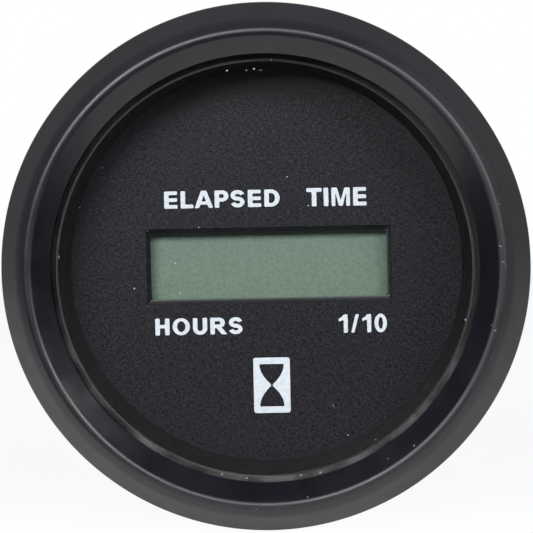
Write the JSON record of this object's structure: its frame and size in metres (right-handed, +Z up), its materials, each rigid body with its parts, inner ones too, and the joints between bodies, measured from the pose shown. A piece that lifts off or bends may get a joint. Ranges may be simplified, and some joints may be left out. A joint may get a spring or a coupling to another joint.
{
  "type": "hour meter",
  "caption": "Round panel hour meter with a satin black bezel, clear lens, black dial and liquid crystal window, with studs and blade terminals on the back.",
  "frame": {"origin": "on the barrel axis at the panel plane, which is the bezel's flat back face", "axes": "the dial faces -Y, +Y goes back through the panel, +Z is up on the dial and +X is to its right"},
  "size_m": [0.06, 0.0491, 0.06],
  "materials": {
    "bezel_black": "satin moulded black",
    "gasket_rubber": "matte",
    "clear_lens": "clear polished acrylic",
    "ring_black": "matte",
    "dial_black": "fine matte screen print",
    "display_film": "satin polariser",
    "display_glass": "clear",
    "reflector_film": "silvered",
    "strip_rubber": "matte, layered",
    "board_green": "solder mask",
    "plated_steel": "bright zinc plate",
    "chip_black": "matte moulding compound",
    "can_metal": "drawn nickel silver",
    "capacitor_can": "drawn, bare",
    "fired_clay": "fired ceramic",
    "case_black": "fine moulded texture",
    "blade_brass": "bright rolled strip"
  },
  "bodies": {
    "root": {"bezel": "bezel_black", "lens_gasket": "gasket_rubber", "lens": "clear_lens", "dial_ring": "ring_black", "dial_plate": "dial_black", "lcd_front_polariser": "display_film", "lcd_front_glass": "display_glass", "lcd_rear_glass": "display_glass", "lcd_reflector": "reflector_film", "display_carrier": "case_black", "upper_contact_strip": "strip_rubber", "lower_contact_strip": "strip_rubber", "circuit_board": "board_green", "board_screws": "plated_steel", "microcontroller": "chip_black", "memory_chip": "chip_black", "quartz_crystal": "can_metal", "reservoir_capacitor": "capacitor_can", "rectifier": "chip_black", "surge_suppressor": "chip_black", "voltage_regulator": "chip_black", "chip_resistors": "chip_black", "chip_capacitors": "fired_clay", "case": "case_black", "positive_blade": "blade_brass", "negative_blade": "blade_brass", "mounting_studs": "plated_steel", "stud_washers": "plated_steel", "stud_nuts": "plated_steel"}
  },
  "joints": []
}
